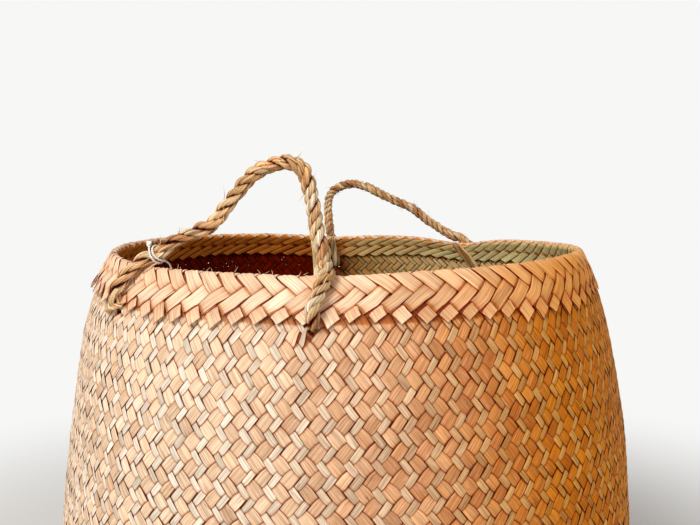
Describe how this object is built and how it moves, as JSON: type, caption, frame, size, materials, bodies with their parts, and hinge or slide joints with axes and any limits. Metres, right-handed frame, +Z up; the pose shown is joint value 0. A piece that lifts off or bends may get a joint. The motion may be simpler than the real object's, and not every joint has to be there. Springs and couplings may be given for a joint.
{
  "type": "belly basket",
  "caption": "Soft round bellied basket plaited from flat leaf strips, with a folded border and two twisted leaf-rope handles that swing.",
  "frame": {"origin": "middle of the flat base's underside, where the basket stands", "axes": "+Z up along the basket's axis, -Y towards the front handle, +X to the right as seen from the front"},
  "size_m": [0.516, 0.516, 0.4912],
  "materials": {
    "plaited_leaf": "dry plaited leaf, light tan and grey-green strips",
    "border_leaf": "dry folded leaf, warm tan",
    "leaf_rope": "twisted dry leaf, light and dark fibres",
    "loose_leaf": "loosened pale leaf fibres",
    "cotton_string": "white twisted cotton"
  },
  "bodies": {
    "basket": {"base_mat": "plaited_leaf", "basket_wall": "plaited_leaf", "rim_border": "border_leaf", "front_left_rope_leg": "leaf_rope", "front_right_rope_leg": "leaf_rope", "back_left_rope_leg": "leaf_rope", "back_right_rope_leg": "leaf_rope", "front_left_rope_tail": "loose_leaf", "front_right_rope_tail": "loose_leaf", "back_left_rope_tail": "loose_leaf", "back_right_rope_tail": "loose_leaf", "tag_string": "cotton_string", "tag_string_knot": "cotton_string", "tag_string_end_knot": "cotton_string"},
    "front_handle": {"front_handle_rope": "leaf_rope"},
    "back_handle": {"back_handle_rope": "leaf_rope"}
  },
  "joints": [
    {"name": "front_handle_swing", "type": "hinge", "parent": "basket", "child": "front_handle", "pos_m": [-0.053, -0.19872, 0.427], "axis": [0.9997, 0, 0.0247], "range_deg": [-85, 105]},
    {"name": "back_handle_swing", "type": "hinge", "parent": "basket", "child": "back_handle", "pos_m": [0.03315, 0.20042, 0.41872], "axis": [-0.9939, -0.0957, 0.0554], "range_deg": [-85, 105]}
  ]
}
